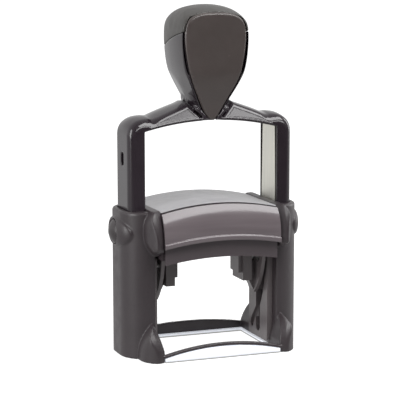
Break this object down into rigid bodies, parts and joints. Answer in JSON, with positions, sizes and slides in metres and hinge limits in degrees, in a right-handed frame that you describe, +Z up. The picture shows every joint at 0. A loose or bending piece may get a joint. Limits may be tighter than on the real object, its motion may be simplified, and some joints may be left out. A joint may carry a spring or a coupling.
{
  "type": "self-inking stamp",
  "caption": "Self-inking hand stamp: pressing the bow handle turns the text plate over from the ink pad down to the paper.",
  "frame": {"origin": "centre of the footprint, on the paper plane under the rubber feet", "axes": "+X to the right across the width, +Y to the back, +Z up; the front with the drop-shaped plate and the cartridge grip faces -Y"},
  "size_m": [0.0892, 0.0498, 0.1534],
  "materials": {
    "frame_plastic": "fine matt moulded texture, dark warm grey-black",
    "inner_plastic": "plain moulded, dark warm grey-black",
    "cover_grey": "satin silver-grey",
    "window_grey": "glossy mid-grey, bright bead along the bottom",
    "card": "plain card",
    "clear_plastic": "clear moulded plastic",
    "foot_rubber": "soft rubber",
    "spring_steel": "drawn spring wire",
    "pin_steel": "ground steel pin",
    "core_steel": "pale satin steel strip",
    "ink_felt": "ink-soaked felt",
    "button_plastic": "satin moulded",
    "gloss_black": "glossy black with a faint purple tint",
    "knob_satin": "satin dark brown-grey",
    "text_plate_plastic": "thin carrier sheet",
    "die_rubber": "red stamp rubber"
  },
  "bodies": {
    "frame": {"main_frame": "frame_plastic", "bridge": "frame_plastic", "top_cover": "cover_grey", "front_window": "window_grey", "rear_window": "window_grey", "front_label_card": "card", "rear_label_card": "card", "flip_cam_right": "inner_plastic", "flip_cam_left": "inner_plastic", "clear_base": "clear_plastic", "base_feet": "foot_rubber", "column_plug_right": "inner_plastic", "column_plug_left": "inner_plastic", "spring_guide_right": "inner_plastic", "spring_guide_left": "inner_plastic", "return_spring_right": "spring_steel", "return_spring_left": "spring_steel", "button_spring_right": "spring_steel", "button_spring_left": "spring_steel"},
    "cartridge": {"ink_tray": "frame_plastic", "ink_pad": "ink_felt"},
    "button_right": {"lock_button_right": "button_plastic"},
    "button_left": {"lock_button_left": "button_plastic"},
    "handle": {"handle_bow": "gloss_black", "steel_core": "core_steel", "knob_cap": "knob_satin", "knob_front_plate": "knob_satin", "knob_rear_plate": "knob_satin", "carrier_axles": "pin_steel"},
    "carrier": {"plate_carrier": "inner_plastic", "cam_followers": "pin_steel", "text_plate": "text_plate_plastic", "text_rubber": "die_rubber"}
  },
  "joints": [
    {"name": "handle_press", "type": "slide", "parent": "frame", "child": "handle", "axis": [0, 0, -1], "range_m": [0, 0.033], "stiffness_N_per_m": 120, "springref_m": -0.02, "deforming": ["return_spring_right", "return_spring_left"]},
    {"name": "carrier_flip", "type": "hinge", "parent": "handle", "child": "carrier", "pos_m": [0, 0, 0.0401], "axis": [1, 0, 0], "range_deg": [0, 180]},
    {"name": "cartridge_slide", "type": "slide", "parent": "frame", "child": "cartridge", "axis": [0, -1, 0], "range_m": [0, 0.042]},
    {"name": "button_right_push", "type": "slide", "parent": "frame", "child": "button_right", "axis": [-1, 0, 0], "range_m": [0, 0.0015], "stiffness_N_per_m": 400, "springref_m": -0.001, "deforming": ["button_spring_right"]},
    {"name": "button_left_push", "type": "slide", "parent": "frame", "child": "button_left", "axis": [1, 0, 0], "range_m": [0, 0.0015], "stiffness_N_per_m": 400, "springref_m": -0.001, "deforming": ["button_spring_left"]}
  ],
  "couplings": [
    {"joint": "carrier_flip", "follows": "handle_press", "rad_per_m": 95.199}
  ]
}
